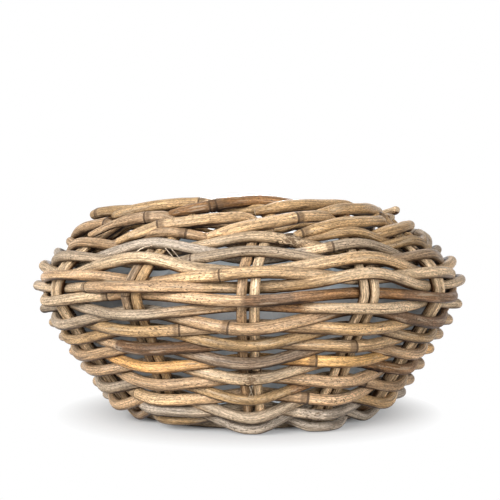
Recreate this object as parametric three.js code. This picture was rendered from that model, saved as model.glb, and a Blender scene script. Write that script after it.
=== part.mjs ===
// Rattan planter: a low, wide basket woven from whole rattan canes, with a plastic film liner inside.
// Millimetres, +Z up. The origin is on the floor, under the middle of the base.

import * as THREE from "three";

// Canes and film
const stakeDiameter = 10;
const weaverDiameter = 9.8;
const slatDiameter = 10;
const linerThickness = 1;

// The wall, followed along the middle of the uprights: it leaves the foot, swells to the belly
// and draws in to the rim, and its corners at the foot and the belly are rounded
const footRadius = 178;
const bellyBulge = 90;
const bellyHeight = 163;
const rimInset = 58;
const rimRise = 57;
const footRounding = 32;
const bellyRounding = 40;

// The weave: pairs of uprights, and canes that wind up round them, outside one pair and inside the next
const stakePairs = 13;
const firstPairAngle = THREE.MathUtils.degToRad(-1);
const pairGap = 2.6;
const weaverCount = 11;
const turnsPerWeaver = 2;
const rowOpening = 8;
const openRows = 10;
const openBelowBelly = 56;
const weaveStartPair = 6;

// The border: both canes of a pair fold left. The stake runs down outside the pair beside it.
// The bye-stake folds above it, rises inside to arch over the next pair, and runs down outside.
const foldRadius = 11;
const stakeRunGaps = 1.5;
const stakeRunDrop = 13.5;
const byeArchRise = 16;
const byeRunGaps = 2.1;
const byeRunDrop = 17;

// The base: a hoop on the floor with slats nailed across inside it
const hoopInset = 32;
const slatSpacing = 26;

// The liner's edge, measured up the wall from the rim
const linerRise = 12;

// Clearances between pieces that press on each other
const floorClearance = 0.5;
const caneClearance = 0.4;
const weaverEndGap = 3;
const filmClearance = 0.6;

// Facets
const caneSides = 5;
const weaverStepsPerGap = 3;
const wallArcSteps = 5;
const foldSteps = 3;
const runStepsPerGap = 3;
const hoopSides = 8;
const hoopSegments = 26;
const linerSegments = 26;
const linerWallSteps = 10;
const slatSides = 6;

const hoopRadius = footRadius - hoopInset;
const bellyRadius = footRadius + bellyBulge;
const rimRadius = bellyRadius - rimInset;
const rimHeight = bellyHeight + rimRise;
const stakeRadius = stakeDiameter / 2;
const weaverRadius = weaverDiameter / 2;
const gapAngle = (2 * Math.PI) / stakePairs;
const pairOffset = (stakeDiameter + pairGap) / 2;
const weaverStep = gapAngle / weaverStepsPerGap;
const runStep = gapAngle / runStepsPerGap;

const rattan = new THREE.MeshStandardMaterial({ color: 0xb39a74, roughness: 0.6, metalness: 0 });
const paleRattan = new THREE.MeshStandardMaterial({ color: 0xc2a87e, roughness: 0.6, metalness: 0 });
const film = new THREE.MeshStandardMaterial({ color: 0xa9b8c2, roughness: 0.25, metalness: 0 });

const upAxis = new THREE.Vector3(0, 0, 1);
const planter = new THREE.Group();

function addPiece(name, geometry, material) {
  const piece = new THREE.Mesh(geometry, material);
  piece.name = name;
  planter.add(piece);
}

function numbered(name, index) {
  return name + "_" + String(index + 1).padStart(2, "0");
}

// A point r from the axis, height z, at an angle from the front that grows to the right,
// moved sideways along the ring there.
function ringPoint(r, z, angle, sideways = 0) {
  const point = new THREE.Vector3(sideways, -r, z);
  return point.applyAxisAngle(upAxis, angle);
}

// Straight stretches between the corners, with an arc to the left at each inner corner.
function roundedPath(corners, roundings) {
  const path = new THREE.CurvePath();
  let from = corners[0];
  roundings.forEach((rounding, i) => {
    const [before, corner, after] = corners.slice(i, i + 3);
    const arriving = corner.clone().sub(before).normalize();
    const leaving = after.clone().sub(corner).normalize();
    const bend = Math.acos(arriving.dot(leaving));
    const cut = rounding * Math.tan(bend / 2);
    const start = corner.clone().addScaledVector(arriving, -cut);
    const outward = new THREE.Vector2(arriving.y, -arriving.x);
    const centre = start.clone().addScaledVector(outward, -rounding);
    const turned = outward.angle();
    path.add(new THREE.LineCurve(from, start));
    path.add(new THREE.EllipseCurve(centre.x, centre.y, rounding, rounding, turned, turned + bend));
    from = corner.clone().addScaledVector(leaving, cut);
  });
  path.add(new THREE.LineCurve(from, corners[corners.length - 1]));
  return path;
}

// How far a chord of a ring lies inside the ring.
function chordDepth(r, angle) {
  return r * (1 - Math.cos(angle / 2));
}

// How far a weaver stands out from the middle of the wall as it passes a pair of uprights.
function weaveDepth(r) {
  const touching = stakeRadius + weaverRadius + caneClearance;
  const stepShare = Math.min(pairOffset / (r * weaverStep), 1);
  const atUpright = THREE.MathUtils.lerp(1, Math.cos(Math.PI / weaverStepsPerGap), stepShare);
  return touching / atUpright;
}

// The lowest weaver passes under the uprights just clear of the floor.
// The hoop beside it carries their feet.
const footLevel = floorClearance + weaverRadius + weaveDepth(hoopRadius);
const hoopDiameter = footLevel - stakeRadius - caneClearance;
const hoopInside = hoopRadius - hoopDiameter / 2;
const hoopOutside = hoopRadius + hoopDiameter / 2;

// The wall's middle line in radius and height, from over the hoop to the rim.
const wall = roundedPath(
  [
    new THREE.Vector2(hoopInside, footLevel),
    new THREE.Vector2(footRadius, footLevel),
    new THREE.Vector2(bellyRadius, bellyHeight),
    new THREE.Vector2(rimRadius, rimHeight),
  ],
  [footRounding, bellyRounding],
);
const wallLength = wall.getLength();
const [, , bellyStart, bellyEnd] = wall.getCurveLengths();

// Lengths along the wall that follow its bends: each straight stretch in one step, each arc in a few.
const wallStations = [0];
wall.curves.forEach((curve, i) => {
  const from = wallStations[wallStations.length - 1];
  const to = wall.getCurveLengths()[i];
  const steps = curve.isEllipseCurve ? wallArcSteps : 1;
  for (let k = 1; k <= steps; k++) {
    wallStations.push(THREE.MathUtils.lerp(from, to, k / steps));
  }
});

// Radius and height at a length along the wall and a distance out from it.
// Past the rim the wall runs on straight.
function wallPoint(along, out) {
  const share = THREE.MathUtils.clamp(along / wallLength, 0, 1);
  const past = along - share * wallLength;
  const point = wall.getPoint(share);
  const up = wall.getTangent(share);
  return { r: point.x + up.x * past + up.y * out, z: point.y + up.y * past - up.x * out };
}

// A cane has one ring of corners at each of its points.
class CanePath extends THREE.CatmullRomCurve3 {
  getUtoTmapping(u) {
    return u;
  }
}

function polygon(diameter, sides) {
  const corners = new THREE.EllipseCurve(0, 0, diameter / 2, diameter / 2).getPoints(sides);
  return new THREE.Shape(corners.slice(0, sides));
}

function cane(points, diameter) {
  return new THREE.ExtrudeGeometry(polygon(diameter, caneSides), {
    steps: points.length - 1,
    extrudePath: new CanePath(points),
  });
}

// The uprights
const rimGap = gapAngle * rimRadius;
const byeFoldRise = stakeDiameter + 2 * caneClearance;
const runOffset = stakeDiameter + caneClearance + chordDepth(rimRadius, runStep);

// A course gives how far a cane has risen past its fold, and how far out it lies,
// at a distance round the rim from its fold.
function stakeCourse(round) {
  const outside = THREE.MathUtils.smoothstep(round, 0, rimGap / 2);
  const sunk = THREE.MathUtils.smoothstep(round, foldRadius, stakeRunGaps * rimGap);
  return { rise: -stakeRunDrop * sunk, out: runOffset * outside };
}

function byeCourse(round) {
  const risen = THREE.MathUtils.smoothstep(round, foldRadius, rimGap);
  const sunk = THREE.MathUtils.smoothstep(round, rimGap, byeRunGaps * rimGap);
  const inside = THREE.MathUtils.smoothstep(round, 0, rimGap / 2);
  const outside = THREE.MathUtils.smoothstep(round, rimGap / 2, (3 * rimGap) / 2);
  return { rise: byeArchRise * risen - byeRunDrop * sunk, out: runOffset * (2 * outside - inside) };
}

// From the hoop up the wall, to the left over the rim in a quarter turn, and on along a course.
function upright(angle, sideways, foldStart, course, runGaps) {
  const points = wallStations.slice(0, -1).map((along) => {
    const { r, z } = wallPoint(along, 0);
    return ringPoint(r, z, angle, sideways);
  });
  const crest = foldStart + foldRadius;
  const stations = [];
  for (let i = 0; i <= foldSteps; i++) {
    const bend = ((Math.PI / 2) * i) / foldSteps;
    const round = foldRadius * (1 - Math.cos(bend));
    stations.push([foldStart + foldRadius * Math.sin(bend), round]);
  }
  const runSteps = Math.ceil(runGaps * runStepsPerGap);
  for (let i = 1; i <= runSteps; i++) {
    const round = THREE.MathUtils.lerp(foldRadius, runGaps * rimGap, i / runSteps);
    stations.push([crest + course(round).rise, round]);
  }
  for (const [along, round] of stations) {
    const { r, z } = wallPoint(along, course(round).out);
    points.push(ringPoint(r, z, angle + (sideways - round) / rimRadius));
  }
  return cane(points, stakeDiameter);
}

for (let i = 0; i < stakePairs; i++) {
  const angle = firstPairAngle + i * gapAngle;
  const stake = upright(angle, -pairOffset, wallLength, stakeCourse, stakeRunGaps);
  const byeStake = upright(angle, pairOffset, wallLength + byeFoldRise, byeCourse, byeRunGaps);
  addPiece(numbered("stake", i), stake, rattan);
  addPiece(numbered("bye_stake", i), byeStake, rattan);
}

// The weave fills the wall between the hoop and the lower ends of the border.
const besideHoop = hoopDiameter + 2 * caneClearance + weaverRadius;
const weaveStart = besideHoop + chordDepth(hoopOutside, weaverStep);
const borderFoot = wallLength + foldRadius - stakeRunDrop;
const weaveEnd = borderFoot - stakeRadius - weaverRadius - caneClearance;
const pitch = (weaveEnd - weaveStart - rowOpening) / (weaverCount * turnsPerWeaver);

// Rows lie close except below the belly, where they open up.
const openMiddle = (bellyStart + bellyEnd) / 2 - openBelowBelly;
const openRow = (openMiddle - rowOpening / 2 - weaveStart) / pitch;

function rowLength(row) {
  const opened = THREE.MathUtils.smoothstep(row, openRow - openRows / 2, openRow + openRows / 2);
  return weaveStart + pitch * row + rowOpening * opened;
}

function weaverPoint(turned) {
  const along = rowLength(turned / (2 * Math.PI));
  const angle = weaveStartPair * gapAngle + turned;
  const side = -Math.cos((Math.PI * angle) / gapAngle);
  const { r, z } = wallPoint(along, side * weaveDepth(wallPoint(along, 0).r));
  return ringPoint(r, z, firstPairAngle + angle);
}

for (let i = 0; i < weaverCount; i++) {
  const turn = 2 * Math.PI * turnsPerWeaver;
  const endGap = weaverEndGap / 2 / wallPoint(rowLength(turnsPerWeaver * i), 0).r;
  const steps = turnsPerWeaver * stakePairs * weaverStepsPerGap;
  const points = [];
  for (let k = 0; k <= steps; k++) {
    const from = turn * i + endGap;
    const to = turn * (i + 1) - endGap;
    points.push(weaverPoint(THREE.MathUtils.clamp(turn * (i + k / steps), from, to)));
  }
  addPiece(numbered("weaver", i), cane(points, weaverDiameter), paleRattan);
}

// The base hoop stands on a flat of its own section.
function hoopProfile() {
  const points = [];
  const flat = Math.PI / hoopSides;
  const reach = hoopDiameter / 2 / Math.cos(flat);
  for (let i = 0; i <= hoopSides; i++) {
    const turned = -Math.PI / 2 + flat * (2 * i + 1);
    const r = hoopRadius + reach * Math.cos(turned);
    const z = hoopDiameter / 2 + reach * Math.sin(turned);
    points.push(new THREE.Vector2(r, z));
  }
  return points;
}
const hoop = new THREE.LatheGeometry(hoopProfile(), hoopSegments).rotateX(Math.PI / 2);
addPiece("base_hoop", hoop, rattan);

// Slats lie side by side across the hoop, each cut to the chord of its place.
const slatReach = hoopInside * Math.cos(Math.PI / hoopSegments) - caneClearance;
const slatsEachSide = Math.floor((slatReach - slatDiameter) / slatSpacing);
for (let i = 0; i <= 2 * slatsEachSide; i++) {
  const across = (i - slatsEachSide) * slatSpacing;
  const length = 2 * Math.sqrt(slatReach ** 2 - (Math.abs(across) + slatDiameter / 2) ** 2);
  const slat = new THREE.CylinderGeometry(slatDiameter / 2, slatDiameter / 2, length, slatSides);
  slat.rotateZ(Math.PI / 2).translate(0, across, floorClearance + slatDiameter / 2);
  addPiece(numbered("base_slat", i), slat, paleRattan);
}

// The film lies on the slats, rises over the feet of the uprights and follows the inside of the weave.
function linerPoint(along, inward) {
  const wallRadius = wallPoint(along, 0).r;
  const weaveInside = weaveDepth(wallRadius) + weaverRadius + chordDepth(wallRadius, weaverStep);
  const { r, z } = wallPoint(along, -weaveInside - filmClearance - inward);
  return new THREE.Vector2(r, z);
}

function linerProfile() {
  const lowest = weaveStart - weaverDiameter;
  const highest = wallLength + linerRise;
  const floor = floorClearance + slatDiameter + filmClearance;
  const floorReach = hoopInside - (linerPoint(lowest, 0).y - floor);
  const outside = [new THREE.Vector2(0, floor), new THREE.Vector2(floorReach, floor)];
  const inside = outside.map((point) => new THREE.Vector2(point.x, point.y + linerThickness));
  for (let i = 0; i <= linerWallSteps; i++) {
    const along = THREE.MathUtils.lerp(lowest, highest, i / linerWallSteps);
    outside.push(linerPoint(along, 0));
    inside.push(linerPoint(along, linerThickness));
  }
  return [...outside, ...inside.reverse()];
}
const liner = new THREE.LatheGeometry(linerProfile(), linerSegments).rotateX(Math.PI / 2);
addPiece("liner", liner, film);

export default planter;
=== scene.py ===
import bpy
import numpy as np
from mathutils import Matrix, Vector


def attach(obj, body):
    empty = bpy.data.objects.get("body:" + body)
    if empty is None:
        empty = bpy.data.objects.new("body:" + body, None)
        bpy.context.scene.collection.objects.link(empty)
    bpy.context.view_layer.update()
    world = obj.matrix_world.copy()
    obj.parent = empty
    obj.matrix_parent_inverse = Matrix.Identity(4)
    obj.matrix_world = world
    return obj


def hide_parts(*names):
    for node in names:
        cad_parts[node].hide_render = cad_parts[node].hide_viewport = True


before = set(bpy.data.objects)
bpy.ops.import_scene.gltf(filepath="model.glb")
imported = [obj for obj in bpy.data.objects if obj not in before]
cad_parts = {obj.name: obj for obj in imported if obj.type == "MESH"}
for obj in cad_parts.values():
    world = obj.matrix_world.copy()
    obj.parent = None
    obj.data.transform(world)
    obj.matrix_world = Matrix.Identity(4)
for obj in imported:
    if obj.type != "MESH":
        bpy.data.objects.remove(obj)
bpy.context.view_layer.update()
print("frame loaded:", len(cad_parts), "solids")

millimetre = 0.001  # small shifts are listed in millimetres, other lengths are in metres

# the wall's line along the middle of the uprights, as the solids have it
wallForm = {
    "hoopInside": 0.14005,
    "footLevel": 0.01729,
    "footRadius": 0.178,
    "bellyRadius": 0.268,
    "bellyHeight": 0.163,
    "rimRadius": 0.210,
    "rimHeight": 0.220,
    "footRounding": 0.032,
    "bellyRounding": 0.040,
    "arcSteps": 60,
    "step": 0.0005,
}
pairCount = 13
gapAngle = 2 * np.pi / pairCount
firstAngle = np.radians(-1)  # the pair nearest the camera


def unit(vectors):
    # each vector divided by its own length
    return vectors / np.linalg.norm(vectors, axis=-1, keepdims=True)


def ease(value, start, end):
    # smooth step 3 t^2 - 2 t^3, where t goes from 0 at start to 1 at end
    t = np.clip((value - start) / (end - start), 0, 1)
    return t * t * (3 - 2 * t)


def bell(distance, spread):
    # exp(-(distance / spread)^2)
    return np.exp(-(distance / spread) ** 2)


def drift(seed, distance, size, wavelength):
    # slow unevenness of up to size: four sines of falling length and size at seeded phases
    phases = np.random.default_rng(seed).uniform(0, 2 * np.pi, 4)
    shares = np.array([1, 0.7, 0.5, 0.3])
    lengths = wavelength / np.array([1, 1.7, 2.9, 4.3])
    waves = np.sin(2 * np.pi * np.asarray(distance)[..., None] / lengths + phases)
    return size * ((waves * shares).sum(-1) / shares.sum())


def readColumns(places, marks, table):
    # each column of the table read at the places, in straight lines between its marks
    return np.stack([np.interp(places, marks, column) for column in table.T], 1)


def reachAlong(line):
    # the length along a line of points, from its start to each of them
    return np.concatenate([[0], np.cumsum(np.linalg.norm(np.diff(line, axis=0), axis=1))])


def traceWall(form):
    # straight lines from corner to corner, each corner cut by an arc:
    # centre + rounding * (cos, sin)
    corners = np.array([
        (form["hoopInside"], form["footLevel"]),
        (form["footRadius"], form["footLevel"]),
        (form["bellyRadius"], form["bellyHeight"]),
        (form["rimRadius"], form["rimHeight"]),
    ])
    parts = [corners[:1]]
    roundings = (form["footRounding"], form["bellyRounding"])
    for before, corner, after, rounding in zip(corners, corners[1:], corners[2:], roundings):
        arriving = unit(corner - before)
        bend = np.arccos(arriving @ unit(after - corner))
        outward = np.array([arriving[1], -arriving[0]])
        centre = corner - arriving * rounding * np.tan(bend / 2) - outward * rounding
        turn = np.arctan2(outward[1], outward[0]) + np.linspace(0, bend, form["arcSteps"])
        parts.append(centre + rounding * np.stack([np.cos(turn), np.sin(turn)], 1))
    line = np.concatenate(parts + [corners[-1:]])
    reach = reachAlong(line)
    along = np.arange(0, reach[-1], form["step"])
    even = readColumns(along, reach, line)
    return along, even, unit(np.gradient(even, along, axis=0))


wallAlong, wallLine, wallTangent = traceWall(wallForm)
wallLength = wallAlong[-1]
# how far the dried basket has pulled in from the even wall, in millimetres by height
wallPull = {
    "heights": (0.0, 0.03, 0.05, 0.07, 0.09, 0.185, 0.2, 0.212, 0.23, 0.26),
    "all": (0, 0, 0, 0, 0, 0, 2.5, 5, 8, 8.5),
    "left": (10, 10, 6, 3, 0, 0, 0, 0, 0, 0),
    "leftSharpness": 3,
}


def onWall(along, out, angle, sideways=0):
    # wall point plus out times its normal, straight on past the rim, pulled in by height, then
    # turned to its angle, which is 0 at the front:
    # x = sideways cos a + r sin a, y = sideways sin a - r cos a
    past = np.maximum(along - wallLength, 0)
    columns = (*wallLine.T, *wallTangent.T)
    lineR, lineZ, tangentR, tangentZ = (np.interp(along, wallAlong, column) for column in columns)
    radius = lineR + tangentR * past + tangentZ * out
    height = lineZ + tangentZ * past - tangentR * out
    across, back = np.sin(angle), -np.cos(angle)
    leftness = np.maximum(-across, 0) ** wallPull["leftSharpness"]
    pulled = np.interp(height, wallPull["heights"], wallPull["all"])
    pulled = pulled + leftness * np.interp(height, wallPull["heights"], wallPull["left"])
    radius = radius - millimetre * pulled
    x, y = radius * across - sideways * back, radius * back + sideways * across
    point = np.stack([x, y, height], -1)
    outward = np.stack([tangentZ * across, tangentZ * back, -tangentR], -1)
    return point, outward


# tones of dried cane, as seen, from 0 to 255
caneTones = {
    "straw": (231, 197, 154),
    "honey": (207, 167, 117),
    "tan": (203, 165, 123),
    "gold": (226, 170, 104),
    "olive": (186, 150, 104),
    "ash": (193, 168, 137),
    "driftwood": (166, 137, 105),
    "umber": (128, 95, 66),
    "chestnut": (166, 122, 80),
    "amber": (224, 184, 135),
    "silver": (190, 171, 148),
    "smoke": (144, 120, 96),
    "russet": (160, 116, 72),
    "maize": (240, 187, 118),
    "bone": (228, 206, 176),
}


def toLinear(tone):
    # a tone as seen, turned to the light it sends back: ((v + 0.055) / 1.055) ^ 2.4
    seen = np.asarray(tone, float) / 255
    return np.where(seen <= 0.04045, seen / 12.92, ((seen + 0.055) / 1.055) ** 2.4)


linearTones = {name: toLinear(tone) for name, tone in caneTones.items()}


def setInputs(tree, node, inputs):
    # each input either set to a value or joined to another node's output
    for key, value in inputs.items():
        if isinstance(value, bpy.types.NodeSocket):
            tree.links.new(value, node.inputs[key])
        else:
            node.inputs[key].default_value = value


def shaderNode(tree, kind, inputs=None, **settings):
    # a new node with its settings and its inputs
    node = tree.nodes.new(kind)
    for key, value in settings.items():
        setattr(node, key, value)
    setInputs(tree, node, inputs or {})
    return node


def blendTone(tree, share, under, over, how="MIX"):
    # under and over blended by share, as colours
    inputs = {0: share, 6: under, 7: over}
    mix = shaderNode(tree, "ShaderNodeMix", inputs, data_type="RGBA", blend_type=how)
    return mix.outputs[2]


def ramped(tree, value, low, high, toLow=0.0, toHigh=1.0):
    # value stretched from low..high to toLow..toHigh and held there
    inputs = {"Value": value, "From Min": low, "From Max": high, "To Min": toLow, "To Max": toHigh}
    return shaderNode(tree, "ShaderNodeMapRange", inputs).outputs["Result"]


def stretchedNoise(tree, coords, scale, detail):
    # noise on cane coordinates stretched along the cane
    moved = shaderNode(tree, "ShaderNodeVectorMath", {0: coords, 1: scale}, operation="MULTIPLY")
    inputs = {
        "Vector": moved.outputs[0],
        "Scale": 1.0,
        "Detail": detail,
        "Roughness": caneFinish["noiseRoughness"],
    }
    return shaderNode(tree, "ShaderNodeTexNoise", inputs).outputs["Fac"]


def newMaterial(name):
    # an empty material with its node tree and its shader
    material = bpy.data.materials.new(name)
    material.use_nodes = True
    return material, material.node_tree, material.node_tree.nodes["Principled BSDF"]


def summed(tree, terms):
    # the terms' sum, each a value times its weight
    total = 0.0
    for value, weight in terms:
        inputs = {0: value, 1: weight, 2: total}
        total = shaderNode(tree, "ShaderNodeMath", inputs, operation="MULTIPLY_ADD").outputs[0]
    return total


def storedField(tree, name, output="Fac"):
    # a value stored on the piece's points
    return shaderNode(tree, "ShaderNodeAttribute", attribute_name=name).outputs[output]


caneFinish = {
    "specular": 0.25,
    "noiseRoughness": 0.6,
    "stored": {"joint": "caneJoint", "worn": "caneWorn", "soot": "caneSoot", "open": "caneOpen"},
    # noises on the cane's own coordinates: scale along it and across it, then detail
    "noises": {
        "fibre": ((11, 520, 520), 4),
        "thread": ((24, 1000, 1000), 2),
        "blotch": ((18, 80, 80), 3),
        "weather": ((8, 26, 26), 4),
        "speck": ((380, 640, 640), 1),
        "stain": ((30, 330, 330), 3),
        "flake": ((240, 480, 480), 3),
        "grain": ((330, 900, 900), 2),
    },
    "tones": {
        "weather": (0.42, 0.34, 0.255, 1),
        "speck": (0.055, 0.034, 0.02, 1),
        "stain": (0.13, 0.078, 0.043, 1),
        "joint": (0.07, 0.04, 0.022, 1),
        "flake": (0.62, 0.5, 0.36, 1),
    },
    "shadeTone": (0.1, 0.055, 0.025, 1),
    "litTone": (1, 1, 1, 1),
    "litTint": (0.94, 0.99, 1.1, 1),
    "weatherRange": (0.5, 0.68),
    # noises that darken and lighten the tone: the noise's range, then the factors at its ends
    "shades": {
        "blotch": (0.3, 0.7, 0.72, 1.2),
        "fibre": (0.34, 0.66, 0.64, 1.28),
        "thread": (0.4, 0.6, 0.68, 1.2),
        "grain": (0.36, 0.62, 0.6, 1.24),
    },
    # where the painted highlight tint lies and where the painted shade lifts to light: weights of
    # what is summed up, then the sum's range
    "litTinted": ({"open": 1, "fibre": 0.6, "blotch": 0.6}, (0.8, 1.5)),
    "lit": ({"open": 1, "blotch": 0.8, "stain": -1.1}, (-0.32, 0.25)),
    # marks laid over each other in this order: weights, the sum's range, share and tone
    "marks": {
        "bleached": ({"stain": 1}, (0.42, 0.37), 0.35, "flake"),
        "stained": ({"stain": 1}, (0.61, 0.65), 0.5, "stain"),
        "torn": ({"flake": 1, "worn": 0.2}, (0.68, 0.73), 0.85, "stain"),
        "bare": ({"flake": -1, "worn": 0.2}, (-0.2, -0.14), 0.55, "flake"),
        "specked": ({"speck": 1, "blotch": 0.5}, (0.93, 0.98), 0.75, "speck"),
        "sooty": ({"soot": 1, "fibre": 1}, (0.85, 1.2), 0.7, "stain"),
        "ringed": ({"joint": 1, "grain": 0.9}, (0.7, 0.95), 0.9, "joint"),
    },
    "dullRange": (0.42, 0.62),
    "dullSpread": (-0.14, 0.18),
    "fibreGloss": (0.35, 0.65, 0.08, -0.06),
    "roughness": {"dull": 1, "gloss": 1, "worn": 0.3},
    "relief": {"fibre": 0.7, "grain": 0.4, "specked": -0.4},
    "reliefStrength": 0.7,
    "reliefDepth": 0.001,
}


def caneMaterial(name, roughness, weather):
    # skin of dried cane: its own tone greyed by weather, darkened and lightened by noises, given a
    # cool painted highlight tint where it faces the light, patchy with noise, then marked by
    # stains, torn bark, specks and joints, and given painted shade, dark brown, where it faces away
    # from the light
    material, tree, shader = newMaterial(name)
    coords = storedField(tree, "caneCoords", "Vector")
    field = {label: storedField(tree, stored) for label, stored in caneFinish["stored"].items()}
    for label, (scale, detail) in caneFinish["noises"].items():
        field[label] = stretchedNoise(tree, coords, scale, detail)

    def weighed(weights):
        # the fields' sum by their weights
        return summed(tree, [(field[label], weight) for label, weight in weights.items()])

    greyed = ramped(tree, field["weather"], *caneFinish["weatherRange"], 0.0, weather)
    colour = storedField(tree, "caneTone", "Color")
    colour = blendTone(tree, greyed, colour, caneFinish["tones"]["weather"])
    for label, shade in caneFinish["shades"].items():
        colour = blendTone(tree, 1.0, colour, ramped(tree, field[label], *shade), "MULTIPLY")
    # painted highlight tint: cooler where the cane faces out and up, patchy with noise
    weights, span = caneFinish["litTinted"]
    litTinted = ramped(tree, weighed(weights), *span)
    colour = blendTone(tree, litTinted, colour, caneFinish["litTint"], "MULTIPLY")
    for label, (weights, span, share, tone) in caneFinish["marks"].items():
        field[label] = ramped(tree, weighed(weights), *span, 0.0, share)
        colour = blendTone(tree, field[label], colour, caneFinish["tones"][tone])
    # painted shade: dark brown where the cane faces in or down, with a ragged edge from the noises
    weights, span = caneFinish["lit"]
    lit = ramped(tree, weighed(weights), *span)
    light = blendTone(tree, lit, caneFinish["shadeTone"], caneFinish["litTone"])
    colour = blendTone(tree, 1.0, colour, light, "MULTIPLY")
    smooth, dull = (roughness + spread for spread in caneFinish["dullSpread"])
    field["dull"] = ramped(tree, field["weather"], *caneFinish["dullRange"], smooth, dull)
    field["gloss"] = ramped(tree, field["fibre"], *caneFinish["fibreGloss"])
    bump = shaderNode(tree, "ShaderNodeBump", {
        "Strength": caneFinish["reliefStrength"],
        "Distance": caneFinish["reliefDepth"],
        "Height": weighed(caneFinish["relief"]),
    })
    setInputs(tree, shader, {
        "Base Color": colour,
        "Roughness": weighed(caneFinish["roughness"]),
        "Specular IOR Level": caneFinish["specular"],
        "Normal": bump.outputs[0],
    })
    return material


pithFinish = {
    "roughness": 0.85,
    "poreScale": 900.0,
    "poreRange": (0.1, 0.5),
    "poreTone": (0.16, 0.1, 0.06, 1),
    "tone": (0.5, 0.38, 0.25, 1),
}


def pithMaterial():
    # a cut end: pale pith with dark pores
    material, tree, shader = newMaterial("canePith")
    place = shaderNode(tree, "ShaderNodeTexCoord").outputs["Object"]
    inputs = {"Vector": place, "Scale": pithFinish["poreScale"]}
    pores = shaderNode(tree, "ShaderNodeTexVoronoi", inputs).outputs["Distance"]
    solid = ramped(tree, pores, *pithFinish["poreRange"])
    colour = blendTone(tree, solid, pithFinish["poreTone"], pithFinish["tone"])
    setInputs(tree, shader, {"Base Color": colour, "Roughness": pithFinish["roughness"]})
    return material


# each skin's roughness and its share of grey weathering
stakeSkin = caneMaterial("rattanStakeSkin", 0.52, 0.3)
weaverSkin = caneMaterial("rattanWeaverSkin", 0.52, 0.4)
baseSkin = caneMaterial("rattanBaseSkin", 0.6, 0.7)
pith = pithMaterial()
print("materials made:", len(bpy.data.materials))

caneForm = {
    "sides": 18,
    "spacing": 0.003,
    "jointSteps": np.array([-6, -4, -2.6, -1.6, -1, -0.5, 0, 0.5, 1, 1.6, 2.6, 4, 6]) * 0.001,
    "endSteps": np.array([0.0003, 0.0008, 0.0016]),
    "closest": 0.0002,
    "uneven": (0.04, 0.17),  # size and wavelength, here and below
    "twist": (3, 0.4),
    "ovalness": 0.03,
    "swells": ((0.075, 0.0055), (-0.075, 0.0007)),  # a joint's swelling and its groove
    "ringLength": 0.0013,
    "sootLength": 0.0045,
    "sootOffset": 0.004,
    "ringDepth": (0.6, 1),
    "toneSpread": (0.84, 1.12),
    "outShare": 0.62,
    "upShare": 0.42,
    "insideLitShare": 1.5,
    "endSwell": (-0.16, 0.0009),
    "wornRelief": 0.15,
    "chips": (1, 0.016),
    "chipLobes": 3,
    "chipSway": 0.011,
    "fineChips": (1, 0.007),
    "fineChipSteps": (0.004, 0.3),  # round the cane and along it
    "coordStep": 0.37,  # keeps two canes' noises apart
}


def caneStations(length, joints):
    # even steps along the cane, with closer ones beside each joint and at both ends
    even = np.linspace(0, length, int(length / caneForm["spacing"]) + 2)
    near = (joints[:, None] + caneForm["jointSteps"]).ravel()
    ends = np.concatenate([caneForm["endSteps"], length - caneForm["endSteps"]])
    steps = np.unique(np.concatenate([even, near, ends]))
    steps = steps[(steps >= 0) & (steps <= length)]
    apart = np.diff(steps) > caneForm["closest"]
    return steps[np.concatenate([[True], apart])]


def caneRings(path, facing, cane):
    # rings square to the path: centre + r (cos t outward + sin t across), where r drifts slowly,
    # swells at each joint, dips in the joint's ring and rounds off at the ends
    reach = reachAlong(path)
    length = reach[-1]
    joints = np.interp(cane["joints"], cane["marks"], reach)
    stations = caneStations(length, joints)
    centre = readColumns(stations, reach, path)
    towards = readColumns(stations, reach, facing)
    tangent = unit(np.gradient(centre, stations, axis=0))
    outward = unit(towards - (towards * tangent).sum(1, keepdims=True) * tangent)
    across = np.cross(tangent, outward)
    turn = np.linspace(0, 2 * np.pi, caneForm["sides"], endpoint=False)
    away = stations[:, None] - joints
    swell = sum(size * bell(away, spread).sum(1) for size, spread in caneForm["swells"])
    size, spread = caneForm["endSwell"]
    swell = swell + size * bell(np.minimum(stations, length - stations), spread)
    uneven = 1 + drift(cane["seed"], stations, *caneForm["uneven"]) + swell
    turned = drift(cane["seed"] + 1, stations, *caneForm["twist"])
    oval = 1 + caneForm["ovalness"] * np.cos(2 * (turn + turned[:, None]))
    mark = np.interp(stations, reach, cane["marks"])
    worn = 0 * mark
    for place, size, strength in cane.get("worn", ()):
        worn = worn + strength * bell(mark - place, size)
    swayed = stations[:, None] + caneForm["chipSway"] * np.sin(caneForm["chipLobes"] * turn)
    stepRound, stepAlong = caneForm["fineChipSteps"]
    fine = stepRound * turn + stepAlong * stations[:, None]
    chips = drift(cane["seed"] + 2, swayed, *caneForm["chips"])
    chips = chips + drift(cane["seed"] + 3, fine, *caneForm["fineChips"])
    thick = np.interp(mark, cane["marks"], cane["radius"])
    rough = 1 + caneForm["wornRelief"] * worn[:, None] * chips
    radius = thick[:, None] * uneven[:, None] * oval * rough
    spoke = np.cos(turn)[:, None] * outward[:, None] + np.sin(turn)[:, None] * across[:, None]
    rings = centre[:, None] + radius[:, :, None] * spoke
    return rings, caneFields(cane, stations, joints, mark, worn, turn, radius, centre, spoke)


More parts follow.
